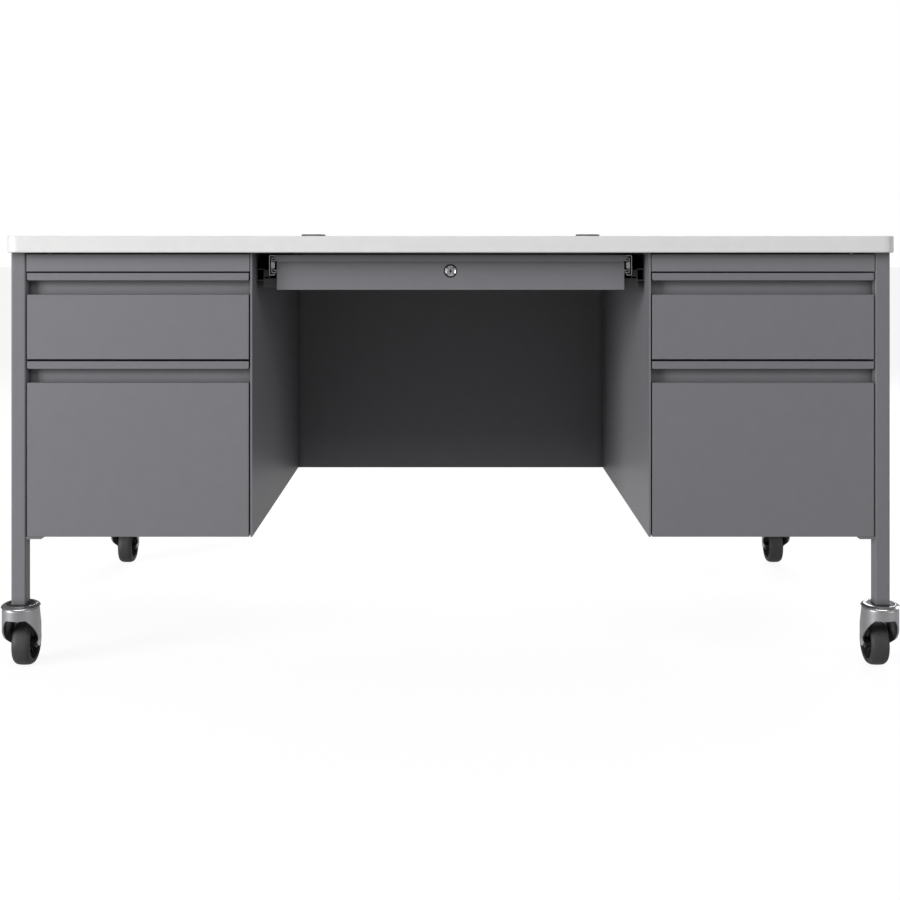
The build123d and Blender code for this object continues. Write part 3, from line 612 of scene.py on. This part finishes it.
def brake(corner):
    """A foot pedal with a ribbed tread, hung on a pin between two ears under the fork's crown."""
    plane = upright(corner)
    ears = bmesh.new()
    outline = rounded([(y * MM, z * MM) for y, z in EAR_OUTLINE], 3.0 * MM)
    for near in EAR_STARTS:
        prism(ears, outline, plane, near * MM, (near + EAR_SHEET) * MM)
    axis = swivel_axis(corner)
    pin = Vector((axis.x, axis.y + PEDAL_PIVOT[0] * MM, PEDAL_PIVOT[1] * MM))
    lathe(ears, [(r * MM, a * MM) for r, a in mirrored(PEDAL_PIN)], pin, "X", 32, False)
    piece(f"{corner}_pedal_ears", ears, f"{corner}_swivel", "fork_zinc", (f"{corner}_fork",))
    pedal = bmesh.new()
    outline = rounded([(y * MM, z * MM) for y, z in PEDAL_OUTLINE], [r * MM for r in PEDAL_ROUND])
    prism(pedal, outline, plane, -PEDAL_HALF, PEDAL_HALF)
    body = f"{corner}_brake"
    replaced = (f"{corner}_brake_pedal",)
    piece(f"{corner}_moulded_pedal", pedal, body, "pedal_plastic", replaced, 0.8 * MM)
    grip = bmesh.new()
    for k in range(GRIP_RIDGES):
        y = GRIP_START + GRIP_PITCH * k
        crest = 101.2 - (y - 42.0) * 0.075
        foot = [(y - 1.0, crest - 0.8), (y - 0.7, crest + 0.7)]
        ridge = foot + [(y + 0.7, crest + 0.6), (y + 1.0, crest - 0.9)]
        prism(grip, [(a * MM, b * MM) for a, b in ridge], plane, -9.0 * MM, 9.0 * MM)
    piece(f"{corner}_pedal_grip", grip, body, "pedal_plastic")


for corner in CORNERS:
    fork(corner)
    wheel(corner)
    raceway(corner)
    if corner.startswith("rear"):
        brake(corner)

# ------------------------------------------------------------------ ball-bearing slides
SLIDE_WALL = 1.15 * MM
BALL_R = 1.45 * MM
SLIDES = {"left_box": 12.7, "left_file": 12.7, "right_box": 12.7, "right_file": 12.7, "centre": 15.6}
PEDESTAL_DRAWERS = [drawer for drawer in SLIDES if drawer != "centre"]
MEMBER_STEP = 1.2 * MM + 3.0 * MM  # one wall and one row of balls
STOP_OUTLINE = (
    (3.3 * MM, -5.2 * MM), (9.8 * MM, -5.2 * MM), (9.8 * MM, 5.3 * MM), (3.3 * MM, 5.3 * MM),
)
BALLS_IN_ROW = 8
BALL_PITCH = 0.013
CAGE_LENGTH = 0.1


def slide_walls(drawer, thick):
    """Where a drawer's two slides are fixed, and the way each one faces."""
    low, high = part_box(f"{drawer}_inner_slides")
    return ((low.x - 0.45 * thick, 1), (high.x + 0.45 * thick, -1))


def channel(near, far, half, lip):
    """The open line of a rolled channel: web at near, flanges reaching to far, lips turned in."""
    back = 0.35 * MM if far > near else -0.35 * MM
    upper = [(far, half - lip), (far - back, half), (near, half)]
    lower = [(near, -half), (far - back, -half), (far, lip - half)]
    line = rounded(upper + lower, 1.9 * MM, closed=False)
    return strip(line, SLIDE_WALL if far > near else -SLIDE_WALL)


def slide(drawer, thick):
    """Outer, middle and inner members of both slides, with the balls and cages between them."""
    thick *= MM
    low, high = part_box(f"{drawer}_inner_slides")
    z = (low.z + high.z) / 2
    start, end = low.y, high.y
    inner_half = (high.z - low.z) / 2
    middle_half = inner_half + MEMBER_STEP
    outer_half = middle_half + MEMBER_STEP
    members = {
        "outer": channel(0.0, 0.62 * thick, outer_half, 2.6 * MM),
        "middle": channel(0.26 * thick, 0.8 * thick, middle_half, 2.2 * MM),
        "inner": channel(thick, 0.45 * thick, inner_half, 2.2 * MM),
    }
    bodies = {"outer": "desk", "middle": f"{drawer}_middle_members", "inner": f"{drawer}_drawer"}
    nodes = {member: (f"{drawer}_{member}_slides",) for member in members}
    nodes["outer"] = ("slide_outer_members",)
    walls = slide_walls(drawer, thick)
    for member, outline in members.items():
        build = bmesh.new()
        for wall, way in walls:

            def plane(p, y, wall=wall, way=way):
                return Vector((wall + way * p[0], y, z + p[1]))

            prism(build, outline, plane, start, end)
            if member == "middle":
                stop = rounded(STOP_OUTLINE, 1.2 * MM)
                prism(build, stop, plane, start - 0.9 * MM, start + 1.2 * MM)
        piece(f"{drawer}_{member}_channels", build, bodies[member], "zinc_plate", nodes[member])
    balls = bmesh.new()
    cages = bmesh.new()
    rows = (
        (0.52 * thick, middle_half + 1.5 * MM, end - 0.13),
        (0.66 * thick, inner_half + 1.5 * MM, start + 0.006),
    )
    for wall, way in walls:
        for across, level, first in rows:
            for sign in (-1, 1):
                for k in range(BALLS_IN_ROW):
                    place = (wall + way * across, first + 0.004 + BALL_PITCH * k, z + sign * level)
                    at = Matrix.Translation(place)
                    bmesh.ops.create_icosphere(balls, subdivisions=2, radius=BALL_R, matrix=at)
                half = 0.12 * thick
                box(
                    cages,
                    (wall + way * across - half, first, z + sign * level - 0.3 * MM),
                    (wall + way * across + half, first + CAGE_LENGTH, z + sign * level + 0.3 * MM),
                )
    piece(f"{drawer}_slide_balls", balls, bodies["middle"], "zinc_plate", nodes["middle"])
    piece(f"{drawer}_ball_cages", cages, bodies["middle"], "zinc_plate", nodes["middle"], 0.15 * MM)


for drawer, thick in SLIDES.items():
    slide(drawer, thick)

# ------------------------------------------------------------------ lock
KEYHOLE = (
    (-0.75, -4.3), (0.75, -4.3), (0.8, -1.6), (2.7, -1.5), (2.5, -0.2), (1.1, 1.7), (0.0, 4.2),
    (-1.1, 1.7), (-2.5, -0.2), (-2.7, -1.5), (-0.8, -1.6),
)
LOCK_BARREL = ((9.7, 3.0), (8.4, 3.4), (8.4, 16.8), (8.0, 17.0), (6.06, 17.0), (6.06, 1.0))
PLUG_R = 6.0
KEYWAY_DEPTH = 6.0 * MM
PLUG_SHANK = ((6.0, 6.0), (6.0, 17.0), (5.0, 17.3), (5.0, 19.6), (0.0, 19.9))
CAM_OUTLINE = ((-5.0, -5.6), (19.0, -4.0), (19.0, 4.0), (-5.0, 5.6))
LOCK_RINGS = (
    (6.06, 1.0), (6.1, 0.35), (6.5, 0.12), (7.0, 0.1), (7.4, 0.12), (7.7, 0.3), (8.0, 0.34), (8.3, 0.2),
    (8.6, 0.0), (9.0, 0.0), (9.35, 0.15), (9.6, 0.5), (9.7, 1.1), (9.7, 3.0),
)


def lock():
    """A die-cast bezel with four staked notches, and a plug with a keyway."""
    low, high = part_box("lock_housing")
    centre = (low + high) / 2
    face = low.y
    build = bmesh.new()
    turns = 240
    rings = []
    for r, sink in LOCK_RINGS:
        ring = []
        for i in range(turns):
            angle = 2 * math.pi * i / turns
            notch = abs((angle % (math.pi / 2)) - math.pi / 4) * r
            depth = sink
            if 6.8 < r < 9.2 and notch < 0.75:
                depth = 1.0 if angle < math.pi else 0.7
            across, up = r * MM * math.cos(angle), r * MM * math.sin(angle)
            ring.append(build.verts.new((centre.x + across, face + depth * MM, centre.z + up)))
        rings.append(ring)
    for a, b in zip(rings, rings[1:]):
        for i in range(turns):
            k = (i + 1) % turns
            build.faces.new((a[i], a[k], b[k], b[i]))
    barrel = [(r * MM, a * MM) for r, a in LOCK_BARREL]
    lathe(build, barrel, (centre.x, face, centre.z), "Y", turns, False)
    piece("lock_bezel", build, "centre_drawer", "zinc_plate", ("lock_housing",), sharp=30.0)
    plug_low, plug_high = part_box("lock_plug")
    front = plug_low.y
    build = bmesh.new()
    sides = 48
    angles = [2 * math.pi * i / sides for i in range(sides)]
    rim = [(PLUG_R * MM * math.cos(a), PLUG_R * MM * math.sin(a)) for a in angles]
    hole = [(x * MM, z * MM) for x, z in KEYHOLE]
    levels = {}
    for loop_name, outline in (("rim", rim), ("hole", hole)):
        for y in (front, front + KEYWAY_DEPTH):
            levels[loop_name, y] = [build.verts.new((centre.x + a, y, centre.z + b)) for a, b in outline]
    edges = []
    for loop_name in ("rim", "hole"):
        loop = levels[loop_name, front]
        edges += [build.edges.new((loop[i], loop[(i + 1) % len(loop)])) for i in range(len(loop))]
        deep = levels[loop_name, front + KEYWAY_DEPTH]
        for i in range(len(loop)):
            k = (i + 1) % len(loop)
            build.faces.new((loop[i], loop[k], deep[k], deep[i]))
    bmesh.ops.triangle_fill(build, use_beauty=True, edges=edges)
    shank = [(r * MM, a * MM) for r, a in PLUG_SHANK]
    lathe(build, shank, (centre.x, front, centre.z), "Y", sides, False)
    cam = rounded(CAM_OUTLINE, 3.6)
    cam_front = plug_high.y - 2.6 * MM

    def plane(p, y):
        return Vector((centre.x + p[0] * MM, y, centre.z + p[1] * MM))

    prism(build, cam, plane, cam_front, plug_high.y - 0.2 * MM)
    piece("lock_keyway_plug", build, "lock_cylinder", "zinc_plate", ("lock_plug",))
    # dark fillings in the keyway and in the bezel's notches: painted shade that stands in for the shadow deep
    # inside them
    build = bmesh.new()
    prism(build, [(x * 0.99, z * 0.99) for x, z in KEYHOLE], plane, front + 0.5 * MM, front + 5.8 * MM)
    piece("lock_keyway_painted_shade", build, "lock_cylinder", "pedal_plastic", ("lock_plug",))
    # painted shade: dark fillings in the bezel's four notches
    build = bmesh.new()
    for k in range(4):
        angle = math.pi / 4 + math.pi / 2 * k
        out = Vector((math.cos(angle), math.sin(angle)))
        aside = Vector((-out.y, out.x))
        half = 0.72 if k < 2 else 0.5
        near, far = out * 6.9, out * 9.0
        corners = [near - aside * half, far - aside * half, far + aside * half, near + aside * half]
        prism(build, rounded(corners, 0.4), plane, face + 0.25 * MM, face + 0.95 * MM)
    piece("lock_notch_painted_shade", build, "centre_drawer", "pedal_plastic", ("lock_housing",))


lock()


# ------------------------------------------------------------------ drawer bodies
HEM_R = 1.5 * MM
HEM_INSET = 1.3 * MM
HEM_SINK = 0.6 * MM  # middle of the bead below the top of the tub
HEM_SIDES = 12


def rolled_hem(drawer):
    """The bead along the top of a drawer body, where its sheet is rolled over."""
    low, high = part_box(f"{drawer}_tub")
    left, right = low.x + HEM_INSET, high.x - HEM_INSET
    front, rear = low.y + HEM_INSET, high.y - HEM_INSET
    corners = [(left, front), (right, front), (right, rear), (left, rear)]
    loop = rounded(corners, 3.0 * MM)
    build = bmesh.new()
    rings = []
    for i, here in enumerate(loop):
        run = (loop[(i + 1) % len(loop)] - loop[i - 1]).normalized()
        out = Vector((run.y, -run.x, 0.0))
        middle = Vector((here.x, here.y, high.z - HEM_SINK))
        ring = []
        for k in range(HEM_SIDES):
            a = 2 * math.pi * k / HEM_SIDES
            rise = Vector((0, 0, HEM_R * math.sin(a)))
            ring.append(build.verts.new(middle + out * HEM_R * math.cos(a) + rise))
        rings.append(ring)
    for a, b in zip(rings, rings[1:] + rings[:1]):
        for k in range(HEM_SIDES):
            n = (k + 1) % HEM_SIDES
            build.faces.new((a[k], a[n], b[n], b[k]))
    piece(f"{drawer}_rolled_hem", build, f"{drawer}_drawer", "drawer_paint")


for drawer in PEDESTAL_DRAWERS:
    rolled_hem(drawer)

# ------------------------------------------------------------------ pan-head screws
SCREW_HEAD = (
    (0.0, 1.5), (0.6, 1.5), (0.9, 2.35), (2.2, 2.2), (3.4, 1.7), (4.1, 0.9), (4.3, 0.0), (0.0, -0.6),
)


SCREWS_ON_A_SIDE = 4
SCREW_END_MARGIN = 0.06
SCREW_INSET = 9.0 * MM  # from the flange's rear edge
FLANGE_SHEET = 1.2 * MM


def modesty_screws():
    """Screws through the modesty panel's side flanges into the pedestals."""
    low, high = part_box("modesty_panel")
    build = bmesh.new()
    for side in (-1, 1):
        flange = side * (high.x - FLANGE_SHEET)
        for k in range(SCREWS_ON_A_SIDE):
            span = high.z - low.z - 2 * SCREW_END_MARGIN
            z = low.z + SCREW_END_MARGIN + span * k / (SCREWS_ON_A_SIDE - 1)
            head = [(r * MM, -side * a * MM) for r, a in SCREW_HEAD]
            lathe(build, head, (flange, high.y - SCREW_INSET, z), "X", 28, False)
    piece("modesty_screws", build, "desk", "zinc_plate")


modesty_screws()

# ------------------------------------------------------------------ floor
FLOOR_REACH = 30.0
FLOOR_GLOW = 0.9  # what the camera sees; other rays get half
FLOOR_TONE = 0.16
BOUNCE_TONE = 0.3
BOUNCE_SINK = 2.0 * MM  # keeps the two planes apart


def floor_plane(name, seen):
    """A large pale floor: one lights the desk from below, the other is what the camera sees."""
    mesh = bpy.data.meshes.new(name)
    build = bmesh.new()
    bmesh.ops.create_grid(build, x_segments=2, y_segments=2, size=FLOOR_REACH)
    build.to_mesh(mesh)
    build.free()
    made = bpy.data.objects.new(name, mesh)
    SCENE.collection.objects.link(made)
    made.visible_camera = made.visible_glossy = seen
    made.visible_diffuse = made.visible_shadow = not seen
    if not seen:
        made.location.z = -BOUNCE_SINK
    pale, tree, shader = material(name)
    tone = FLOOR_TONE if seen else BOUNCE_TONE
    mottle = ramp(tree, noise(tree, 3.0), (0.98 * tone,) * 3, (1.02 * tone,) * 3)
    tree.links.new(mottle, shader.inputs["Base Color"])
    shader.inputs["Roughness"].default_value = 0.9
    if seen:
        shader.inputs["Emission Color"].default_value = (1.0, 1.0, 1.0, 1.0)
        ray = node(tree, "LightPath").outputs["Is Camera Ray"]
        tree.links.new(ramp(tree, ray, 0.5 * FLOOR_GLOW, FLOOR_GLOW), shader.inputs["Emission Strength"])
    mesh.materials.append(pale)


floor_plane("floor_bounce", False)
floor_plane("floor", True)
